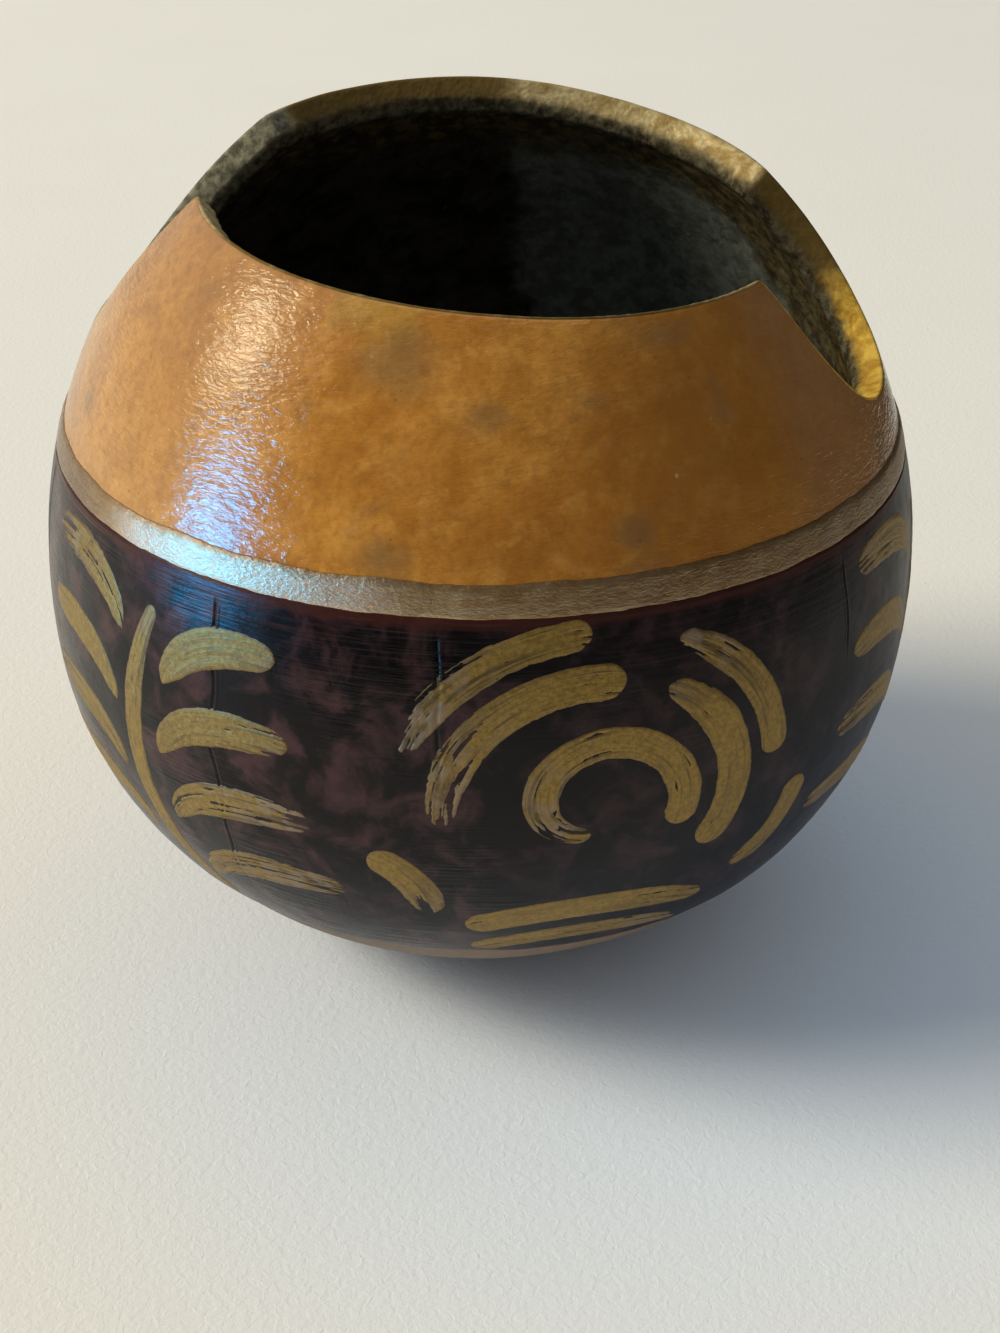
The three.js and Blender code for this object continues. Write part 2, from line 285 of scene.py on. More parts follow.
def crack_groove(azimuth, arc):
    """Each crack is a groove between two faint raised lips, which fades in at its lower end."""
    radius = skin_at(height_at(arc))[0]
    groove = np.zeros(np.broadcast(azimuth, arc).shape)
    for number, crack in enumerate(CRACKS):
        spot = joined(arc / CRACK_BEND, 0.0, 7.0 * number)
        drift = crack["wander"] * edge_noise(spot)
        off = np.abs(turn_from(crack["azimuth"], azimuth) * radius - drift) / crack["half"]
        low, high = crack["low"], crack["high"]
        fade = smooth_step(low, low + CRACK_LOW_FADE, arc)
        fade = fade * smooth_step(high + CRACK_HIGH_FADE, high - CRACK_HIGH_FADE, arc)
        groove -= crack["depth"] * fade * np.exp(-(off**2))
        lips = np.exp(-((off - CRACK_LIP_OFFSET) ** 2))
        groove += CRACK_LIP_HEIGHT * crack["depth"] * fade * lips
    return groove


def lacquer_relief(azimuth, arc):
    place = skin_point(azimuth, arc, 0)
    sagging = 0.03 * brush_noise(place / 5.5)
    brushed = 0.008 * brush_noise(place * [0.12, 0.12, 1.3])
    return sagging + brushed + crack_groove(azimuth, arc)


def band_relief(azimuth, arc):
    place = skin_point(azimuth, arc, 0)
    return 0.02 * brush_noise(place / 2.2) + 0.016 * brush_noise(place * [0.35, 0.35, 1.9])


def pith_relief(azimuth, arc):
    """Torn fibres and lumps of dried pith on the inner wall, as a rise towards the axis."""
    place = skin_point(azimuth, arc, WALL_THICKNESS)
    lumps = 0.5 * pith_noise(place / 5, 2)
    drift = 2.2 * pith_noise(place / 11)[..., None]
    torn = 1 - np.abs(pith_noise(place / 2.6 + drift, 2))
    fibres = 1 - np.abs(pith_noise(place * [0.34, 0.34, 0.75] + 0.7 * drift + 40, 2))
    rise = 0.1 + 0.26 * lumps + 0.16 * torn**3 + 0.14 * fibres**4
    return np.clip(rise, 0, 1.1)


# Meshes.


def add_object(name, data):
    made = bpy.data.objects.new(name, data)
    bpy.context.scene.collection.objects.link(made)
    return made


def make_object(name, points, faces, corner_uvs, attributes, material):
    mesh = bpy.data.meshes.new(name)
    mesh.from_pydata(np.asarray(points) * MM, [], faces)
    layer = mesh.uv_layers.new(name="OFBake")
    layer.uv.foreach_set("vector", np.concatenate(corner_uvs).astype(np.float32).ravel())
    for key, values in attributes.items():
        kind, field = ("FLOAT_VECTOR", "vector") if values.ndim == 2 else ("FLOAT", "value")
        store = mesh.attributes.new(key, kind, "POINT")
        store.data.foreach_set(field, values.astype(np.float32).ravel())
    mesh.materials.append(material)
    mesh.shade_smooth()
    return add_object(name, mesh)


# How much of its length a hidden ring gets on the map.
HIDDEN_SHARE = 0.03


def ring_body(name, grid, material, attributes, hidden, poles=False, folds=1):
    """A closed body of rings, given as a grid of points: ring by column. With poles, the first
    and last rings close to a point on the axis, and else the section is a loop. Hidden rings get
    little of the map, and folds cut a narrow ring's map into that many strips."""
    rings, count = grid.shape[:2]
    index = np.arange(rings * count).reshape(rings, count)
    lower = index[:-1] if poles else index
    upper = index[1:] if poles else np.roll(index, -1, 0)
    quads = joined(lower, np.roll(lower, -1, 1), np.roll(upper, -1, 1), upper)
    points = grid.reshape(-1, 3)

    ahead = grid[1:] if poles else np.roll(grid, -1, 0)
    length = np.linalg.norm(ahead - grid[: len(ahead)], axis=-1).mean(1)
    length = length * np.where(hidden[: len(length)], HIDDEN_SHARE, 1)
    rise = np.concatenate([[0], np.cumsum(length)])
    rise = 0.01 + 0.98 * rise / rise[-1]
    across = np.arange(count) * folds / count
    fold = np.floor(across)
    start = across - fold
    end = start + folds / count
    low = (fold[None] + rise[:-1, None]) / folds
    high = (fold[None] + rise[1:, None]) / folds
    uvs = joined(start, low, end, low, end, high, start, high)
    faces = quads.reshape(-1, 4).tolist()
    corner_uvs = [uvs.reshape(-1, 2)]

    if poles:
        tips = []
        for ring, facing_down in ((0, True), (rings - 1, False)):
            tip = len(points) + len(tips)
            tips.append([0, 0, grid[ring, :, 2].mean()])
            pairs = joined(index[ring], np.roll(index[ring], -1))
            if facing_down:
                pairs = pairs[:, ::-1]
            fan = np.concatenate([np.full((count, 1), tip), pairs], 1)
            faces += fan.tolist()
            level = 0.0 if facing_down else 0.99
            flat = np.array([[0.5, level], [0, level + 0.01], [1, level + 0.01]])
            corner_uvs.append(np.tile(flat, (count, 1)))
        points = np.concatenate([points, tips])

    stored = {}
    for key, values in attributes.items():
        stored[key] = np.concatenate([np.ravel(values), np.zeros(len(points) - rings * count)])
    return make_object(name, points, faces, corner_uvs, stored, material)


class Rings:
    """Collects a ring body's rows, with the values that each row stores for the material."""

    def __init__(self, azimuths):
        self.azimuths = azimuths
        self.points, self.hidden, self.stored = [], [], {}

    def add(self, arc, depth, azimuth=None, hidden=False, **stored):
        flat = np.zeros_like(self.azimuths)
        around = self.azimuths if azimuth is None else azimuth
        self.points.append(skin_point(around, arc + flat, depth + flat))
        self.hidden.append(hidden)
        for key, value in stored.items():
            self.stored.setdefault(key, []).append(value + flat)

    def make(self, name, material, **settings):
        attributes = {key: np.stack(values) for key, values in self.stored.items()}
        grid = np.stack(self.points)
        return ring_body(name, grid, material, attributes, self.hidden, **settings)


def place_in(piece, slot, *nodes):
    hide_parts(*nodes)
    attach(piece, "root")


def levels(start, end, step):
    return np.linspace(start, end, max(2, int(abs(end - start) / step) + 2))


# Finishes.


class Nodes:
    """A node tree under construction."""

    def __init__(self, tree):
        self.nodes, self.links = tree.nodes, tree.links

    def node(self, kind, inputs=(), **settings):
        """A new node, with its inputs given by socket."""
        made = self.nodes.new(kind)
        for key, value in settings.items():
            setattr(made, key, value)
        for socket, value in dict(inputs).items():
            self.feed(made, socket, value)
        return made

    def feed(self, node, socket, value):
        target = node.inputs[socket]
        if isinstance(value, bpy.types.NodeSocket):
            self.links.new(value, target)
        else:
            target.default_value = value

    def math(self, operation, first, second):
        return self.node("ShaderNodeMath", {0: first, 1: second}, operation=operation).outputs[0]

    def mix(self, share, first, second):
        inputs = {0: share}
        for socket, color in ((6, first), (7, second)):
            inputs[socket] = color if isinstance(color, bpy.types.NodeSocket) else (*color, 1)
        return self.node("ShaderNodeMix", inputs, data_type="RGBA").outputs[2]


class Finish(Nodes):
    """A material under construction, with short calls for the nodes that its pattern needs."""

    def __init__(self, name, **settings):
        self.material = bpy.data.materials.new(name)
        self.material.use_nodes = True
        super().__init__(self.material.node_tree)
        self.surface = self.nodes["Principled BSDF"]
        for key, value in settings.items():
            self.feed(self.surface, key.replace("_", " "), value)
        inputs = {0: self.node("ShaderNodeTexCoord").outputs["Object"], "Scale": 1 / MM}
        self.place = self.node("ShaderNodeVectorMath", inputs, operation="SCALE").outputs[0]

    def stretched(self, scale, vector=None):
        inputs = {0: vector or self.place, 1: scale}
        return self.node("ShaderNodeVectorMath", inputs, operation="MULTIPLY").outputs[0]

    def noise(self, per_mm, detail=2.0, roughness=0.5, distortion=0.0, vector=None):
        inputs = {"Vector": vector or self.place, "Scale": per_mm, "Detail": detail}
        inputs.update(Roughness=roughness, Distortion=distortion)
        return self.node("ShaderNodeTexNoise", inputs).outputs["Fac"]

    def cells(self, per_mm):
        """Distance from the middle of the nearest cell."""
        inputs = {"Vector": self.place, "Scale": per_mm}
        return self.node("ShaderNodeTexVoronoi", inputs).outputs["Distance"]

    def stored(self, name, output="Fac"):
        return self.node("ShaderNodeAttribute", attribute_name=name).outputs[output]

    def times(self, first, second):
        return self.math("MULTIPLY", first, second)

    def band(self, value, low, high):
        """0 below low, 1 above high, and smooth between. With low above high it falls instead."""
        falls = float(low > high)
        inputs = {"Value": value, "From Min": min(low, high), "From Max": max(low, high)}
        inputs.update({"To Min": falls, "To Max": 1.0 - falls})
        made = self.node("ShaderNodeMapRange", inputs, interpolation_type="SMOOTHSTEP")
        return made.outputs[0]

    def between(self, value, low, high):
        inputs = {"Value": value, "To Min": low, "To Max": high}
        return self.node("ShaderNodeMapRange", inputs).outputs[0]

    def uneven(self, name, most, *noise):
        """A stored value, raised and lowered by noise, by this much at most."""
        return self.math("ADD", self.stored(name), self.between(self.noise(*noise), -most, most))

    def tint(self, color, share, strength, paint):
        """Paint over a colour, at a share of a given strength."""
        return self.mix(self.times(share, strength), color, paint)

    def color(self, value):
        self.feed(self.surface, "Base Color", value)

    def roughness(self, value):
        self.feed(self.surface, "Roughness", value)

    def bump(self, height, distance_mm, onto=None):
        inputs = {"Height": height, "Distance": distance_mm * MM}
        if onto:
            inputs["Normal"] = onto
        normal = self.node("ShaderNodeBump", inputs).outputs[0]
        self.feed(self.surface, "Normal", normal)
        return normal


def varnished_skin():
    """Ochre gourd skin with soft clouds, grey-brown smudges and a rippled glossy varnish, and bare
    and dry underneath."""
    f = Finish("varnished_skin", Specular_IOR_Level=0.75)
    broad = f.noise(0.045, 3, 0.5, 0.4)
    color = f.mix(f.band(broad, 0.3, 0.7), (0.445, 0.172, 0.024), (0.59, 0.268, 0.046))
    mottle = f.noise(0.16, 4, 0.6, 0.3)
    color = f.tint(color, f.band(mottle, 0.62, 0.34), 0.5, (0.3, 0.105, 0.012))
    warm = f.noise(0.3, 5, 0.62, 0.2)
    color = f.tint(color, f.band(warm, 0.44, 0.74), 0.5, (0.7, 0.35, 0.075))
    # Painted sheen: the left side, which faces the key, is paled towards a whitish tan.
    color = f.tint(color, f.stored("painted_sheen_side"), 0.3, (0.5, 0.3, 0.11))
    # Painted shade: the right side, away from the key, is darkened towards deep brown.
    color = f.tint(color, f.stored("painted_shade_side"), 0.55, (0.235, 0.085, 0.011))
    # Dust and a painted haze of sheen: the skin by the right notch is greyed.
    color = f.tint(color, f.stored("dust_and_sheen_side"), 0.45, (0.235, 0.14, 0.072))
    olive = f.uneven("olive", 0.4, 0.3, 4, 0.6)
    color = f.tint(color, f.band(olive, 0.2, 1.0), 0.4, (0.36, 0.25, 0.05))
    smudge = f.noise(0.1, 4, 0.6, 0.5)
    color = f.tint(color, f.band(smudge, 0.56, 0.74), 0.5, (0.22, 0.13, 0.055))
    stain = f.uneven("stain", 0.6, 0.22, 5, 0.68, 0.4)
    color = f.tint(color, f.band(stain, 0.2, 1.1), 0.65, (0.19, 0.115, 0.05))
    grain = f.noise(0.9, 4, 0.65)
    color = f.tint(color, f.band(grain, 0.6, 0.32), 0.35, (0.27, 0.1, 0.014))
    fleck = f.times(f.band(f.cells(0.3), 0.1, 0.04), f.band(f.noise(0.6), 0.55, 0.62))
    color = f.tint(color, fleck, 0.45, (0.8, 0.5, 0.2))
    pore = f.times(f.band(f.cells(0.5), 0.12, 0.05), f.band(f.noise(0.25), 0.5, 0.6))
    color = f.tint(color, pore, 0.45, (0.13, 0.06, 0.02))
    dry = f.mix(f.noise(0.5, 4, 0.6), (0.16, 0.1, 0.055), (0.27, 0.18, 0.105))
    f.color(f.mix(f.stored("bare"), color, dry))
    varnish = f.between(f.noise(0.5, 4, 0.6), 0.1, 0.18)
    f.roughness(f.math("MAXIMUM", varnish, f.times(f.stored("bare"), 0.65)))
    waves = f.bump(f.noise(0.3, 3, 0.55, 0.8), 0.05)
    ripples = f.noise(1.0, 3, 0.6, 0.3, f.stretched((0.62, 0.62, 1.9)))
    f.bump(ripples, 0.15, waves)
    return f.material


def pithy_paint():
    """Matt charcoal paint over dried pith, with a pale teal-grey pool of painted light at the back
    right and olive near the rim.
    """
    f = Finish("pithy_paint", Specular_IOR_Level=0.0)
    patch = f.noise(0.16, 4, 0.6, 0.4)
    color = f.mix(f.band(patch, 0.35, 0.65), (0.016, 0.011, 0.008), (0.055, 0.046, 0.032))
    # Painted light: the upper back right of the inner wall, where the key falls, is lightened to
    # teal-grey.
    lit_teal = f.uneven("lit_teal", 0.5, 0.16, 3, 0.6)
    patch = f.band(f.noise(0.35, 4, 0.65), 0.36, 0.64)
    lit_teal_paint = f.mix(patch, (0.13, 0.142, 0.12), (0.25, 0.27, 0.222))
    color = f.tint(color, f.band(lit_teal, 0.3, 0.8), 0.9, lit_teal_paint)
    color = f.tint(color, f.band(f.stored("rise"), 0.15, 0.55), 0.5, (0.12, 0.12, 0.1))
    near_rim = f.uneven("below_rim", 7, 0.2, 3, 0.6)
    patch = f.band(f.noise(0.45, 4, 0.65), 0.38, 0.66)
    olive = f.mix(patch, (0.035, 0.024, 0.008), (0.15, 0.108, 0.04))
    color = f.tint(color, f.band(near_rim, 13, 5), 0.9, olive)
    f.color(f.tint(color, f.noise(1.3, 4, 0.7), 0.4, (0.012, 0.011, 0.009)))
    f.roughness(f.between(f.noise(0.8, 3), 0.6, 0.9))
    f.bump(f.noise(1.2, 5, 0.7, 0.4), 0.25)
    return f.material


def aubergine_lacquer():
    """Nearly black lacquer with soft maroon clouds, a red fringe at each edge and brush marks."""
    f = Finish("aubergine_lacquer", Specular_IOR_Level=0.2)
    clouds = f.noise(0.15, 4, 0.62, 0.5)
    cloudy = f.times(f.band(clouds, 0.44, 0.68), f.between(f.stored("brushy"), 0.4, 1.0))
    color = f.mix(cloudy, (0.005, 0.003, 0.004), (0.062, 0.028, 0.032))
    smoke = f.noise(0.4, 3, 0.6, 0.3)
    color = f.tint(color, f.band(smoke, 0.45, 0.7), 0.4, (0.004, 0.003, 0.0035))
    streak = f.noise(1.0, 3, 0.6, 0.2, f.stretched((0.05, 0.05, 2.4)))
    high = f.band(f.stored("from_band"), 14, 2)
    streak = f.times(f.band(streak, 0.52, 0.75), high)
    color = f.tint(color, streak, 0.5, (0.05, 0.02, 0.02))
    fringe = f.band(f.uneven("from_band", 0.7, 0.4, 3), 1.4, 0.2)
    color = f.tint(color, fringe, 0.8, (0.055, 0.014, 0.009))
    foot = f.band(f.uneven("from_foot", 0.8, 0.4, 3), 1.5, 0.2)
    color = f.tint(color, foot, 0.7, (0.11, 0.035, 0.016))
    f.color(f.mix(f.band(f.stored("groove"), 0.02, 0.09), color, (0.0015, 0.0012, 0.0015)))
    satin = f.between(f.noise(0.3, 4, 0.6), 0.36, 0.54)
    f.roughness(f.math("ADD", satin, f.times(f.stored("brushy"), -0.18)))
    strokes = f.noise(1.0, 3, 0.6, 0.1, f.stretched((0.07, 0.07, 1.9)))
    brushed = f.math("MAXIMUM", f.band(f.noise(0.09, 2), 0.45, 0.65), high)
    strokes = f.times(strokes, f.times(brushed, f.stored("brushy")))
    f.bump(f.noise(0.6, 3, 0.6), 0.035, f.bump(strokes, 0.15))
    return f.material


def silver_paint():
    """Thin silver-bronze paint with a metal sparkle, paler silver at the front left as painted sheen,
    brown on the right as painted shade, and rubbed through to the varnished skin at the far left."""
    f = Finish("silver_paint", Specular_IOR_Level=0.5)
    rubbed = f.stored("rubbed")
    patch = f.noise(0.3, 4, 0.65, 0.3)
    color = f.mix(f.band(patch, 0.32, 0.68), (0.35, 0.2, 0.082), (0.54, 0.365, 0.185))
    # Painted sheen: a paler silver tone at the front left, where the band catches the light.
    color = f.tint(color, f.stored("silver_sheen"), 0.8, (0.76, 0.54, 0.38))
    # Painted shade, with real rubbing at the far left: the right side, away from the key, is browned.
    color = f.tint(color, f.stored("worn"), 0.5, (0.17, 0.098, 0.04))
    streak = f.band(f.noise(1.0, 3, 0.6, 0.3, f.stretched((0.25, 0.25, 2.0))), 0.42, 0.7)
    color = f.tint(color, streak, f.between(rubbed, 0.35, 0.1), (0.54, 0.46, 0.34))
    high = f.uneven("from_head", 1.4, 0.5, 4, 0.65)
    color = f.tint(color, f.band(high, 1.3, -0.2), 0.7, (0.29, 0.16, 0.055))
    thin = f.uneven("edge_gap", 0.3, 1.4, 3)
    f.color(f.tint(color, f.band(thin, 0.35, 0.0), 0.3, (0.19, 0.1, 0.04)))
    f.feed(f.surface, "Metallic", f.between(rubbed, 0.66, 0.1))
    f.roughness(f.math("SUBTRACT", f.between(f.noise(1.5, 3), 0.26, 0.5), f.between(rubbed, 0, 0.15)))
    f.bump(f.noise(2.6, 3, 0.6, 0.2, f.stretched((0.6, 0.6, 1.3))), 0.15)
    return f.material


def rim_gold():
    """Gold paint on the sawn edge: bright where it lies thick, brown where it is thin and as painted
    shade on the right notch's upper far face, the back left and the front lip, missing from the torn
    pith of its inner edge."""
    f = Finish("rim_gold", Specular_IOR_Level=0.0)
    mottle = f.noise(0.4, 5, 0.66, 0.4)
    color = f.mix(f.band(mottle, 0.34, 0.66), (0.36, 0.235, 0.08), (0.64, 0.5, 0.25))
    rich = f.mix(f.band(mottle, 0.34, 0.66), (0.5, 0.26, 0.032), (0.85, 0.54, 0.095))
    color = f.mix(f.stored("rich"), color, rich)
    # Thin gilding and painted shade: browns the right notch's upper far face, the back left and the
    # front lip.
    thin = f.band(f.uneven("thin", 0.3, 0.5, 4, 0.65), 0.25, 0.75)
    brown = f.mix(f.noise(0.5, 4, 0.65), (0.07, 0.043, 0.012), (0.2, 0.128, 0.04))
    color = f.mix(thin, color, brown)
    pith = f.mix(f.band(f.noise(0.8, 4, 0.6, 0.2), 0.34, 0.66), (0.12, 0.106, 0.07), (0.31, 0.28, 0.19))
    pale = f.band(f.uneven("pale", 0.25, 0.3, 3, 0.6), 0.3, 0.8)
    color = f.mix(pale, color, pith)
    torn = f.band(f.uneven("across", 0.25, 0.5, 4, 0.6), 0.36, 0.76)
    olive = f.mix(f.band(f.noise(0.7, 4, 0.7), 0.36, 0.66), (0.03, 0.024, 0.013), (0.115, 0.098, 0.06))
    f.color(f.mix(torn, color, olive))
    bare = f.math("MAXIMUM", f.math("MAXIMUM", torn, pale), thin)
    f.feed(f.surface, "Metallic", f.between(bare, 0.4, 0.05))
    f.roughness(f.between(bare, 0.42, 0.8))
    f.bump(f.noise(1.6, 4, 0.6), 0.12)
    return f.material


def brushed_gold():
    """Gold put on with a half-dry brush: lengthwise streaks, granular, duller at the lifted end."""
    f = Finish("brushed_gold", Metallic=0.4, Specular_IOR_Level=0.6)
    along = f.stored("brush_mm", "Vector")
    dryness = f.stored("dryness")
    grain = f.noise(1.5, 4, 0.7)
    color = f.mix(f.band(grain, 0.32, 0.68), (0.22, 0.128, 0.017), (0.36, 0.224, 0.042))
    wash = f.noise(1.0, 3, 0.6, 0.3, f.stretched((0.12, 0.5, 1.0), along))
    color = f.tint(color, f.band(wash, 0.5, 0.7), 0.55, (0.165, 0.096, 0.021))
    hair = f.noise(1.0, 3, 0.65, 0.1, f.stretched((0.09, 2.3, 1.0), along))
    thin = f.math("ADD", hair, f.times(dryness, 0.24))
    color = f.tint(color, f.band(thin, 0.58, 0.76), 0.8, (0.07, 0.045, 0.018))
    worn = f.times(f.band(f.noise(0.4, 3), 0.4, 0.6), f.band(dryness, 0.25, 0.75))
    color = f.tint(color, worn, 0.7, (0.3, 0.22, 0.15))
    faint = f.band(f.uneven("edge_gap", 0.2, 1.2, 3), 0.5, 0.05)
    f.color(f.tint(color, faint, 0.55, (0.13, 0.08, 0.03)))
    f.roughness(f.between(grain, 0.4, 0.6))
    f.bump(f.noise(2.4, 3), 0.06, f.bump(hair, 0.07))
    return f.material


def pale_floor():
    """Pale and warm, with a painted blue tint of shadow under the bowl."""
    f = Finish("pale_floor", Specular_IOR_Level=0.0)
    color = f.mix(f.noise(0.02, 3), (0.91, 0.865, 0.785), (0.95, 0.905, 0.825))
    # Painted shadow: the floor turns blue within about 110 mm of this point, under the bowl.
    shadow_tint_middle = (25, -15, 0)
    apart = f.node("ShaderNodeVectorMath", {0: f.place, 1: shadow_tint_middle}, operation="DISTANCE")
    f.color(f.mix(f.band(apart.outputs["Value"], 110, 30), color, (0.86, 0.92, 1.0)))
    f.roughness(0.6)
    f.bump(f.noise(0.9, 4, 0.6, 0.8), 0.12)
    return f.material


# The pieces.


def edge_steps(azimuths, rim):
    """Unit steps square to the rim's line within the skin: along the circle, and up the skin."""
    radius = skin_at(height_at(rim))[0]
    around = np.mod(np.roll(azimuths, -1) - np.roll(azimuths, 1), 2 * np.pi) * radius
    rise = np.roll(rim, -1) - np.roll(rim, 1)
    length = np.hypot(around, rise)
    return -rise / length / radius, around / length


# Grey-brown stains on the shoulder: azimuth in degrees, height, and radius. They are a little
# wider than high.
STAIN_STRETCH = [1.2, 1.2, 0.9]
STAINS = [(-4, 94.5, 5), (27, 78, 2.5), (-60, 80, 2), (9, 90, 2.5), (-3, 76, 3.5), (75, 76, 3)]
STAINS += [(-78, 86, 2), (128, 90, 5), (165, 80, 4), (-160, 93, 4), (-125, 84, 5), (-178, 98, 3)]


def stains(azimuth, arc):
    """1 in the middle of each stain, falling softly to 0."""
    place = skin_point(azimuth, arc, 0)
    total = np.zeros(place.shape[:-1])
    for degrees, height, radius in STAINS:
        middle = skin_point(radians(degrees), arc_at(height), 0)
        apart = np.linalg.norm((place - middle) / STAIN_STRETCH, axis=-1)
        total += np.exp(-((apart / radius) ** 2))
    return np.minimum(total, 1)


def make_shell():
    """Up the outside, over the rim's edge and down the inside. Only the underside and the
    shoulder show, so the rings are close together there."""
    azimuths = column_azimuths()
    rim = rim_arc(azimuths)
    turn, rise = edge_steps(azimuths, rim)
    sides = {
        # Painted sheen on the left side.
        "painted_sheen_side": near(azimuths, -85, 75),
        # Painted shade on the right side.
        "painted_shade_side": near(azimuths, 75, 60),
        # Dust and a painted haze of sheen by the right notch.
        "dust_and_sheen_side": near(azimuths, 78, 32),
    }
    plain = {"hidden": True, "bare": 0, "stain": 0, "olive": 0, **dict.fromkeys(sides, 0)}
    rings = Rings(azimuths)

    def add(arc, lift=0.0, hidden=False):
        bare = smooth_step(LACQUER_FOOT_ARC + 1, LACQUER_FOOT_ARC, arc)
        depth = -skin_swell(azimuths, arc) - lift
        stain = stains(azimuths, arc)
        olive = near(azimuths, -9, 10) * smooth_step(rim - 8, rim - 1, arc)
        rings.add(arc, depth, hidden=hidden, bare=bare, stain=stain, olive=olive, **sides)

    cover = LACQUER_FOOT_ARC + 2.0
    start = BAND_TOP_ARC - 1.2
    underside_step = 1.0
    for arc in levels(0, cover, underside_step):
        add(arc)
    for arc in levels(cover, start, HIDDEN_STEP)[1:-1]:
        add(arc, -CLEARANCE, hidden=True)
    edge = 0.7
    for share in np.linspace(0, 1, int((rim.max() - start) / SKIN_STEP)):
        add(blend(start, rim - edge, share))
    rounding = ((0.45, 0.01), (0.25, 0.05), (0.1, 0.14), (0.0, 0.3))
    for back, depth in rounding:
        add(rim - back, -depth)
    under_gilding = ((0.05, 2.0), (0.9, 3.3), (1.9, WALL_THICKNESS - 0.1))
    for drop, depth in under_gilding:
        rings.add(rim - drop * rise, depth, azimuths - drop * turn, **plain)
    inside = WALL_THICKNESS - CLEARANCE
    top = rim - 2 * rise
    for share in levels(0, 1, HIDDEN_STEP / (rim.max() - BAND_TOP_ARC))[1:]:
        rings.add(blend(top, BAND_TOP_ARC, share), inside, **plain)
    for arc in levels(BAND_TOP_ARC, 0, HIDDEN_STEP)[1:]:
        rings.add(arc, inside, **plain)
    place_in(rings.make("gourd_skin", varnished_skin(), poles=True), "gourd", "gourd_shell")


def make_lining():
    azimuths = column_azimuths()
    rim = rim_arc(azimuths)
    turn, rise = edge_steps(azimuths, rim)
    below = 1.9
    top = rim - below * rise
    around = azimuths - below * turn
    rings = Rings(azimuths)
    back = WALL_THICKNESS - 0.02
    unseen = {"hidden": True, "rise": 0, "below_rim": 0, "lit_teal": 0}
    for arc in levels(0, BAND_TOP_ARC, HIDDEN_STEP)[:-1]:
        rings.add(arc, back, **unseen)
    for share in np.linspace(0, 1, 5):
        place = blend(azimuths, around, share)
        arc = blend(BAND_TOP_ARC, top, share)
        rings.add(arc, back, place, **unseen)
    front_step = 0.9
    front = []
    for share in np.linspace(1, 0, int((rim.max() - BAND_TOP_ARC) / front_step)):
        arc = blend(BAND_TOP_ARC, top, share)
        front.append((arc, blend(azimuths, around, share)))
    for arc in levels(BAND_TOP_ARC, 0, front_step)[1:]:
        front.append((arc, azimuths))
    for arc, place in front:
        relief = pith_relief(place, arc) * (0.35 + 0.65 * smooth_step(0, 3, top - arc))
        # Painted light: where the key lights the inner wall at the upper back right.
        lit_teal = near(place, 146, 45) * smooth_step(50, 75, arc)
        below_rim = (top - arc) * (1 - 0.8 * near(place, 88, 55))
        rings.add(arc, LINING_DEPTH - 0.15 + relief, place, rise=relief, below_rim=below_rim, lit_teal=lit_teal)
    place_in(rings.make("pithy_lining", pithy_paint(), poles=True), "lining", "interior_coat")


def lacquer_columns():
    """Equal steps round the bowl, with fine ones added where a crack runs."""
    reach = 2.4 / BODY_RADIUS
    azimuths = [np.linspace(-np.pi, np.pi, LACQUER_COLUMNS, endpoint=False)]
    for crack in CRACKS:
        start, end = crack["azimuth"] - reach, crack["azimuth"] + reach
        azimuths.append(np.linspace(start, end, CRACK_COLUMNS))
    return np.unique(np.concatenate(azimuths).round(7))


def lacquer_top(azimuth, arc):
    """Height of the lacquer's surface above the bare skin's formula."""
    return COAT_THICKNESS + skin_swell(azimuth, arc) + lacquer_relief(azimuth, arc)


def make_lacquer():
    azimuths = lacquer_columns()
    ring = skin_point(azimuths, LACQUER_FOOT_ARC, 0)
    foot = LACQUER_FOOT_ARC + 0.5 * edge_noise(ring / 9) + 0.2 * edge_noise(ring / 2.2)
    head = BAND_FOOT_ARC + 0.5
    rings = Rings(azimuths)
    brushy = 0.3 + 0.7 * near(azimuths, -30, 50)
    shares = np.linspace(0, 1, int((head - LACQUER_FOOT_ARC) / SKIN_STEP))
    for share in [0, 0.002, 0.005, *shares[1:]]:
        arc = blend(foot, head, share)
        rounding = np.sqrt(smooth_step(-0.02, 0.5, arc - foot))
        depth = COAT_THICKNESS * (1 - rounding) - lacquer_top(azimuths, arc)
        groove = -np.minimum(crack_groove(azimuths, arc), 0)
        away = {"from_foot": arc - foot, "from_band": BAND_FOOT_ARC - arc}
        rings.add(arc, depth, groove=groove, brushy=brushy, **away)
    for share in np.linspace(1, 0, 12):
        arc = blend(foot, head, share)
        depth = 0.03 - skin_swell(azimuths, arc)
        rings.add(arc, depth, hidden=True, groove=0, brushy=0, from_foot=9, from_band=9)
    place_in(rings.make("lacquered_belly", aubergine_lacquer()), "lacquer", "lacquer_coat")


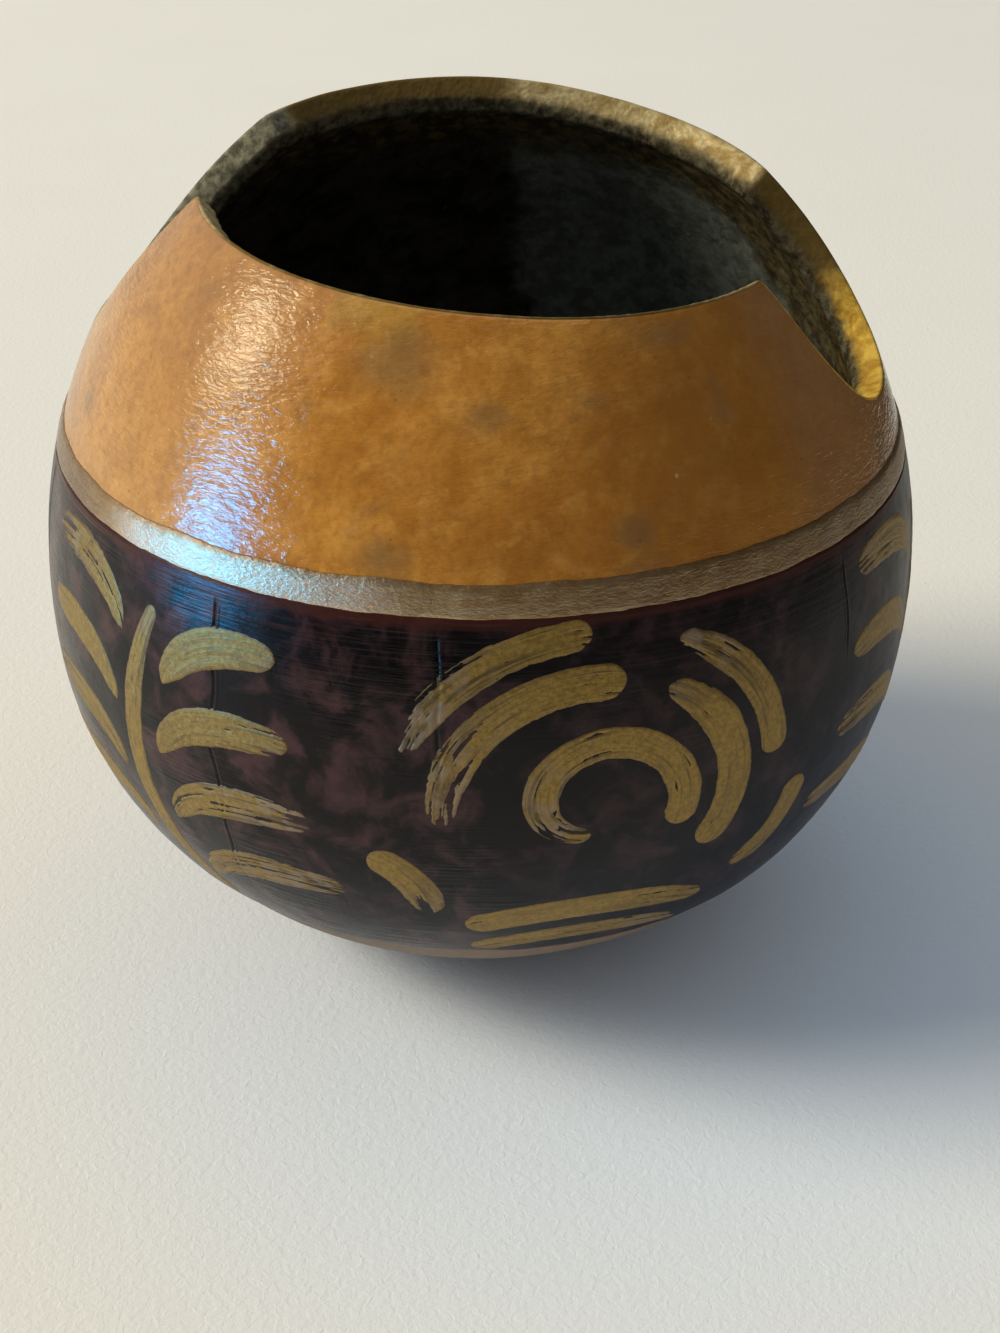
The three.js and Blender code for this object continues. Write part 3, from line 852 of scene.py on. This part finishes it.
def make_band():
    """Hand-painted, so both edges waver. It is a little wider at the front right."""
    azimuths = np.linspace(-np.pi, np.pi, BAND_COLUMNS, endpoint=False)
    ring = skin_point(azimuths, BAND_FOOT_ARC, 0)
    foot = BAND_FOOT_ARC + 0.16 * edge_noise(ring / 7 + 3) + 0.07 * edge_noise(ring / 1.4)
    head = BAND_TOP_ARC + 0.3 * edge_noise(ring / 8 + 9) + 0.12 * edge_noise(ring / 1.8 + 2)
    head = head + 0.4 * np.cos(azimuths - radians(15))
    rubbed = near(azimuths, -80, 42)
    # Painted shade on the right side, away from the key, plus the real rubbing at the far left.
    worn = near(azimuths, 68, 66) + 2 * rubbed
    # Painted sheen: a paler silver tone at the front left.
    sides = {"silver_sheen": near(azimuths, -23, 25), "worn": worn, "rubbed": rubbed}
    rings = Rings(azimuths)
    thickness, edge_height, bed = 0.29, 0.02, 0.04
    for share in (0, 0.02, 0.06, 0.12, 0.2, 0.3, 0.4, 0.5, 0.6, 0.7, 0.8, 0.88, 0.94, 0.98, 1):
        arc = blend(foot, head, share)
        gap = np.minimum(arc - foot, head - arc)
        rounding = np.sqrt(smooth_step(-0.02, 0.7, gap))
        top = thickness + skin_swell(azimuths, arc) + band_relief(azimuths, arc)
        depth = (thickness - edge_height) * (1 - rounding) - top
        rings.add(arc, depth, edge_gap=gap, from_head=head - arc, **sides)
    for share in np.linspace(0.98, 0.02, 5):
        arc = blend(foot, head, share)
        depth = bed - skin_swell(azimuths, arc)
        rings.add(arc, depth, hidden=True, edge_gap=0, from_head=0, **sides)
    place_in(rings.make("silver_line", silver_paint(), folds=9), "silver", "silver_band")


def make_gilding():
    """Gold film over the sawn edge, whose inner side is torn down into the pith."""
    azimuths = column_azimuths(RIM_FINENESS)
    rim = rim_arc(azimuths)
    turn, rise = edge_steps(azimuths, rim)
    # Thin gilding and painted shade: the right notch's upper far face, the back left and the front lip
    # are browned.
    corner = RIGHT_NOTCH["azimuth"] + RIGHT_NOTCH["half_angle"]
    side = smooth_step(radians(102), radians(109), azimuths)
    side = side * smooth_step(corner + 0.01, corner - 0.01, azimuths)
    thin = 0.95 * side + 0.75 * near(azimuths, -148, 42) + 0.65 * near(azimuths, 0, 66)
    pale = 0.95 * near(azimuths, -102, 18)
    rich = near(azimuths, 84, 30)
    shades = {"thin": thin, "pale": pale, "rich": rich}
    rings = Rings(azimuths)
    flat_part, torn_part = 0.55, 0.85
    outer_face, inner_face = 0.02, LINING_DEPTH + 0.2
    cells = 26
    for share in np.linspace(0, 1, cells + 1):
        depth = blend(outer_face, inner_face, min(share / torn_part, 1))
        gap = share * inner_face / torn_part
        drop = 1.1 * smooth_step(flat_part, torn_part, share)
        drop += 1.7 * smooth_step(torn_part - 0.05, 1, share)
        place = skin_point(azimuths, rim, depth + 2 * share)
        rough = 0.06 * edge_noise(place / 1.3) + 0.05 * edge_noise(place / 0.6 + 8)
        rough = rough + 0.35 * smooth_step(0.4, 0.8, share) * edge_noise(place / 1.6 + 30, 2)
        lift = COAT_THICKNESS * math.sqrt(min(1, gap / 0.35 + 0.02)) + rough * min(1, gap / 0.4) - drop
        follow = (1 - min(share / torn_part, 1)) * skin_swell(azimuths, rim)
        rings.add(rim + rise * lift, depth - follow, azimuths + turn * lift, across=share, **shades)
    for share in (0.97, 0.75, 0.4, 0.04):
        depth = outer_face + (WALL_THICKNESS - 0.1) * share
        lift = -0.12 - 2.4 * smooth_step(0.4, 1, share)
        follow = (1 - share) * skin_swell(azimuths, rim)
        place = azimuths + turn * lift
        rings.add(rim + rise * lift, depth - follow, place, hidden=True, across=share, **shades)
    place_in(rings.make("gilded_rim", rim_gold(), folds=7), "gold", "rim_gilding")


# The frieze. Strokes are drawn in a motif's own box, x to the right and y up from its middle.

STROKE_SAMPLES = 200


def bent_stroke(name, start, control, end, width, shape):
    share = np.linspace(0, 1, STROKE_SAMPLES)[:, None]
    start, control, end = np.array([start, control, end], float)
    line = (1 - share) ** 2 * start + 2 * share * (1 - share) * control + share**2 * end
    return {"name": name, "line": line, "width": width, "shape": shape}


def swept_stroke(name, centre, radii, angles, width):
    angle = np.radians(np.linspace(*angles, STROKE_SAMPLES))
    radius = np.linspace(*radii, STROKE_SAMPLES)
    line = np.array(centre) + radius[:, None] * joined(np.cos(angle), np.sin(angle))
    return {"name": name, "line": line, "width": width, "shape": "brush"}


def fern_motif():
    pairs = 4
    pitch = 10.3
    strokes = [bent_stroke("stem", [4, -25], [-6, -2], [3, 21], 3.2, "brush")]
    for i in range(pairs):
        y = -19 + pitch * i
        bow = 3 * math.sin(math.pi * (i + 0.6) / (pairs + 0.2))
        x = 6 - bow
        tip = [24.5 - 1.8 * i, y + 7.4]
        strokes.append(bent_stroke(f"right_leaf_{i + 1}", [x, y], [x + 3.5, y + 9], tip, 5.2, "leaf"))
    for i in range(pairs):
        y = -15 + pitch * i
        bow = 3 * math.sin(math.pi * (i + 0.9) / (pairs + 0.2))
        x = -1.6 - bow
        tip = [-24.5 + 1.8 * i, y + 6.2]
        strokes.append(bent_stroke(f"left_leaf_{i + 1}", [x, y], [x - 3, y + 8.4], tip, 5.0, "leaf"))
    return strokes


def scroll_motif():
    eye = [-1, 3.5]
    ripple_centre = [0, -42]
    return [
        swept_stroke("curl", eye, [10.2, 4.4], [-30, 262], 4.2),
        swept_stroke("near_ring_right", eye, [16, 15.6], [-38, 62], 4.6),
        swept_stroke("near_ring_left", eye, [15.4, 16.4], [80, 188], 4.6),
        swept_stroke("far_ring_right", eye, [21.3, 21.2], [2, 66], 3.8),
        swept_stroke("far_ring_left", eye, [21.3, 21.6], [92, 160], 4.0),
        swept_stroke("high_ripple", ripple_centre, [28, 27.6], [119, 60], 4.8),
        swept_stroke("low_ripple", ripple_centre, [21.6, 21.4], [124, 56], 4.0),
        bent_stroke("left_dab", [-25, -4.5], [-19.5, -6.5], [-17.5, -14.5], 4.4, "brush"),
        bent_stroke("right_dab", [25, -1.5], [23.5, -10.5], [17, -13.5], 4.0, "brush"),
    ]


def half_width(stroke, share, length):
    """Round where the brush lands and narrower where it lifts. A leaf starts thin and swells."""
    half = stroke["width"] / 2
    if stroke["shape"] == "leaf":
        body = 0.34 + 0.66 * np.sin(np.pi * (share / 1.18) ** 0.9)
    else:
        body = 1 - 0.45 * (np.maximum(share - 0.7, 0) / 0.3) ** 1.5

    def cap(distance, radius):
        return np.sqrt(1 - np.maximum(1 - distance / radius, 0) ** 2)

    tip = 0.05
    rounded = cap(share * length, half) * cap((1 - share) * length, 0.7 * half)
    return half * np.maximum(body * rounded, tip)


FRIEZE_MIDDLE_ARC = (LACQUER_FOOT_ARC + BAND_FOOT_ARC) / 2
UP_SCALE = (BAND_FOOT_ARC - LACQUER_FOOT_ARC - 2 * FRIEZE_MARGIN) / MOTIF_HEIGHT
ACROSS_SCALE = (2 * math.pi * BODY_RADIUS / MOTIF_COUNT - MOTIF_GAP) / MOTIF_WIDTH


def painted_place(sector, flat):
    """Azimuth and arc length of motif coordinates."""
    arc = FRIEZE_MIDDLE_ARC + flat[..., 1] * UP_SCALE
    radius = skin_at(height_at(arc))[0]
    middle = FRIEZE_TURN + 2 * math.pi * sector / MOTIF_COUNT
    return middle + flat[..., 0] * ACROSS_SCALE / radius, arc


def make_stroke(stroke, sector, seed):
    """A film of gold with ragged edges and lengthwise gaps, where its surface dips under the
    lacquer. It tapers to nothing at its outline."""
    line = stroke["line"]
    stride = np.linalg.norm(np.diff(line, axis=0), axis=1)
    walked = np.concatenate([[0], np.cumsum(stride)])
    length = walked[-1]
    steps = int(length / STROKE_STEP)
    share = 0.5 - 0.5 * np.cos(np.linspace(0, np.pi, steps + 1))
    distance = share * length

    def sampled(values):
        return joined(*(np.interp(distance, walked, column) for column in values.T))

    at = sampled(line)
    along = sampled(np.gradient(line, axis=0))
    along /= np.linalg.norm(along, axis=1, keepdims=True)
    side = joined(-along[:, 1], along[:, 0])
    half = half_width(stroke, share, length)

    ragged = []
    for which in (-1, 1):
        spot = joined(distance, 10.0 * which, seed)
        wave = 0.14 * stroke_noise(spot / [2.2, 1, 1]) + 0.09 * stroke_noise(spot / [0.6, 1, 1])
        ragged.append(half + wave * np.minimum(1, half / 1.2))
    left, right = ragged
    across = np.linspace(-1, 1, STROKE_CELLS + 1)
    reach = np.where(across < 0, across * left[:, None], across * right[:, None])
    flat = at[:, None] + side[:, None] * reach[..., None]
    azimuth, arc = painted_place(sector, flat)

    haste = stroke_noise(np.array([[seed * 1.7, 0.3, 0.1]]))[0]
    dryness = np.clip(0.1 + 0.62 * share**2 + 0.6 * haste, 0, 1)
    spot = joined(distance[:, None] / 8, reach / 0.5, seed * 3.1)
    streak = stroke_noise(spot, 2)
    spot = joined(distance[:, None] / 0.9, reach / 0.5, seed * 5.3)
    crumbs = stroke_noise(spot)
    cover = smooth_step(-0.1, 0.12, streak + 0.25 * crumbs + 1.0 - 1.15 * dryness[:, None])
    edge = (1 - np.abs(across)) * half[:, None]
    edge = np.minimum(edge, np.minimum(distance, length - distance)[:, None] + 0.1)
    taper = np.sqrt(smooth_step(-0.02, 0.5, edge))
    thickness, gap_depth, sunk = 0.09, 0.04, 0.1
    film = thickness * (0.75 + 0.35 * streak + 0.2 * crumbs)
    rise = -gap_depth + (film + gap_depth) * cover * taper

    top = skin_point(azimuth, arc, -lacquer_top(azimuth, arc) - rise)
    edges = [0, STROKE_CELLS]
    bottom = skin_point(
        azimuth[:, edges], arc[:, edges], sunk - lacquer_top(azimuth[:, edges], arc[:, edges])
    )
    rows, cols = top.shape[:2]
    points = np.concatenate([top.reshape(-1, 3), bottom.reshape(-1, 3)])
    upper = np.arange(rows * cols).reshape(rows, cols)
    lower = rows * cols + np.arange(rows * 2).reshape(rows, 2)

    def strip(first, second, start, end):
        """Quads between two lines of vertices, with their places in the map from start to end."""
        quads = joined(first[:-1], second[:-1], second[1:], first[1:])
        a, b = share[:-1], share[1:]
        return quads, joined(a, start, a, end, b, end, b, start).reshape(-1, 2)

    lines = [upper[:, i] for i in range(cols)] + [lower[:, 1], lower[:, 0], upper[:, 0]]
    marks = np.concatenate([np.linspace(0, 0.84, cols), [0.88, 0.96, 1.0]])
    faces, corner_uvs = [], []
    for i in range(len(lines) - 1):
        quads, uvs = strip(lines[i], lines[i + 1], marks[i], marks[i + 1])
        faces += quads[:, ::-1].tolist()
        corner_uvs.append(uvs.reshape(-1, 4, 2)[:, ::-1].reshape(-1, 2))
    for end in (0, rows - 1):
        loop = [*upper[end].tolist(), int(lower[end, 1]), int(lower[end, 0])]
        faces.append(loop if end == 0 else loop[::-1])
        spots = joined(float(end > 0), np.linspace(0, 1, len(loop)))
        corner_uvs.append(spots if end == 0 else spots[::-1])

    brush = joined(distance[:, None], reach, seed * 7.7).reshape(-1, 3)
    attributes = {"brush_mm": brush, "dryness": np.repeat(dryness, cols), "edge_gap": np.ravel(edge)}
    for key, values in attributes.items():
        spare = np.zeros((rows * 2, *values.shape[1:]))
        attributes[key] = np.concatenate([values, spare])
    return points, faces, corner_uvs, attributes


def make_frieze():
    material = brushed_gold()
    motifs = [("scroll", scroll_motif()), ("fern", fern_motif())]
    seed = 0
    for sector in range(MOTIF_COUNT):
        motif, strokes = motifs[sector % len(motifs)]
        number = sector // len(motifs) + 1
        for stroke in strokes:
            seed += 1
            node = f"{motif}_{number}_{stroke['name']}"
            piece = make_object("painted_" + node, *make_stroke(stroke, sector, seed), material)
            place_in(piece, "gold", node)


# The studio.


def make_camera():
    """The photograph's view, found by fitting the bowl's outlines."""
    place = Vector((34.8, -240.3, 176.2)) * MM
    turn, pitch, roll = radians(7.58), radians(30.74), radians(0.69)
    data = bpy.data.cameras.new("camera")
    data.sensor_width = 36
    data.lens = 54
    data.clip_start = 0.01
    data.clip_end = 20
    camera = add_object("camera", data)
    camera.matrix_world = (
        Matrix.Translation(place)
        @ Matrix.Rotation(turn, 4, "Z")
        @ Matrix.Rotation(math.pi / 2 - pitch, 4, "X")
        @ Matrix.Rotation(roll, 4, "Z")
    )
    bpy.context.scene.camera = camera


def direction(azimuth, elevation):
    """The unit vector at an azimuth and an elevation in degrees."""
    a, e = radians(azimuth), radians(elevation)
    return np.array([math.sin(a) * math.cos(e), -math.cos(a) * math.cos(e), math.sin(e)])


def soft_light(name, azimuth, elevation, distance, size, radiance, color, roll=0):
    """An area light that faces the bowl. A light of power P and area A shines with P / (pi A)."""
    target = Vector((0, 0, WIDEST_HEIGHT)) * MM
    towards = Vector(direction(azimuth, elevation))
    data = bpy.data.lights.new(name, "AREA")
    data.shape = "RECTANGLE"
    data.size, data.size_y = size
    data.energy = radiance * math.pi * size[0] * size[1]
    data.color = color
    light = add_object(name, data)
    light.location = target + towards * distance
    light.rotation_mode = "QUATERNION"
    facing = (-towards).to_track_quat("-Z", "Y")
    light.rotation_quaternion = facing @ Quaternion((0, 0, 1), radians(roll))
    light.visible_camera = False
    return light


def make_world():
    """Dim and warm in front and to the right, brighter and cool from behind, above and the left."""
    world = bpy.data.worlds.new("world")
    world.use_nodes = True
    sky = Nodes(world.node_tree)
    way = sky.node("ShaderNodeTexCoord").outputs["Generated"]
    bright_side = Vector((-0.55, 0.45, 0.7)) / 2
    share = sky.node("ShaderNodeVectorMath", {0: way, 1: bright_side}, operation="DOT_PRODUCT")
    share = sky.math("ADD", share.outputs["Value"], 0.5)
    color = sky.mix(share, (0.05, 0.04, 0.03), (0.44, 0.495, 0.55))
    sky.feed(sky.nodes["Background"], "Color", color)
    bpy.context.scene.world = world


def make_lights():
    """A warm key, a neutral one in its place that reflections don't see, which keeps the varnish
    from glaring, and a cool window that only reflections see."""
    soft_light("key", -79, 34, 5.0, (1.55, 1.12), 10.5, (1.0, 0.9, 0.62))
    softener = soft_light("softener", -79, 34, 5.0, (2.5, 1.88), 11.1, (1.0, 0.945, 0.817))
    softener.visible_glossy = False
    window = soft_light("window", -57, 4.5, 0.35, (0.085, 0.1), 35.0, (0.0, 0.43, 1.0), roll=40)
    window.visible_diffuse = False


def add_plain_mesh(name, points, faces, material):
    mesh = bpy.data.meshes.new(name)
    mesh.from_pydata(points, [], faces)
    mesh.materials.append(material)
    return add_object(name, mesh)


def black_card():
    f = Finish("black_card", Specular_IOR_Level=0.0)
    f.color(f.mix(f.noise(0.01), (0.02, 0.018, 0.02), (0.03, 0.027, 0.03)))
    f.roughness(0.9)
    return f.material


def make_dark_card():
    """A black card curved round the front and the right, which only reflections see. It keeps the
    lacquer black where it faces the viewer."""
    radius = 0.27
    rows, count = 16, 48
    azimuths = np.linspace(-43, 152, count)
    elevations = np.linspace(0, 74, rows)
    points = [radius * direction(a, e) for e in elevations for a in azimuths]
    faces = [
        (i * count + k, i * count + k + 1, (i + 1) * count + k + 1, (i + 1) * count + k)
        for i in range(rows - 1)
        for k in range(count - 1)
    ]
    card = add_plain_mesh("dark_card", points, faces, black_card())
    card.visible_camera = False
    card.visible_diffuse = False
    card.visible_transmission = False
    card.visible_shadow = False


def make_floor():
    half = 8
    corners = [(-half, -half, 0), (half, -half, 0), (half, half, 0), (-half, half, 0)]
    floor = add_plain_mesh("floor", corners, [(0, 1, 2, 3)], pale_floor())


make_camera()
make_world()
make_lights()
make_dark_card()
make_floor()
make_shell()
make_lining()
make_lacquer()
make_band()
make_gilding()
make_frieze()

bpy.context.scene.view_settings.view_transform = "Standard"
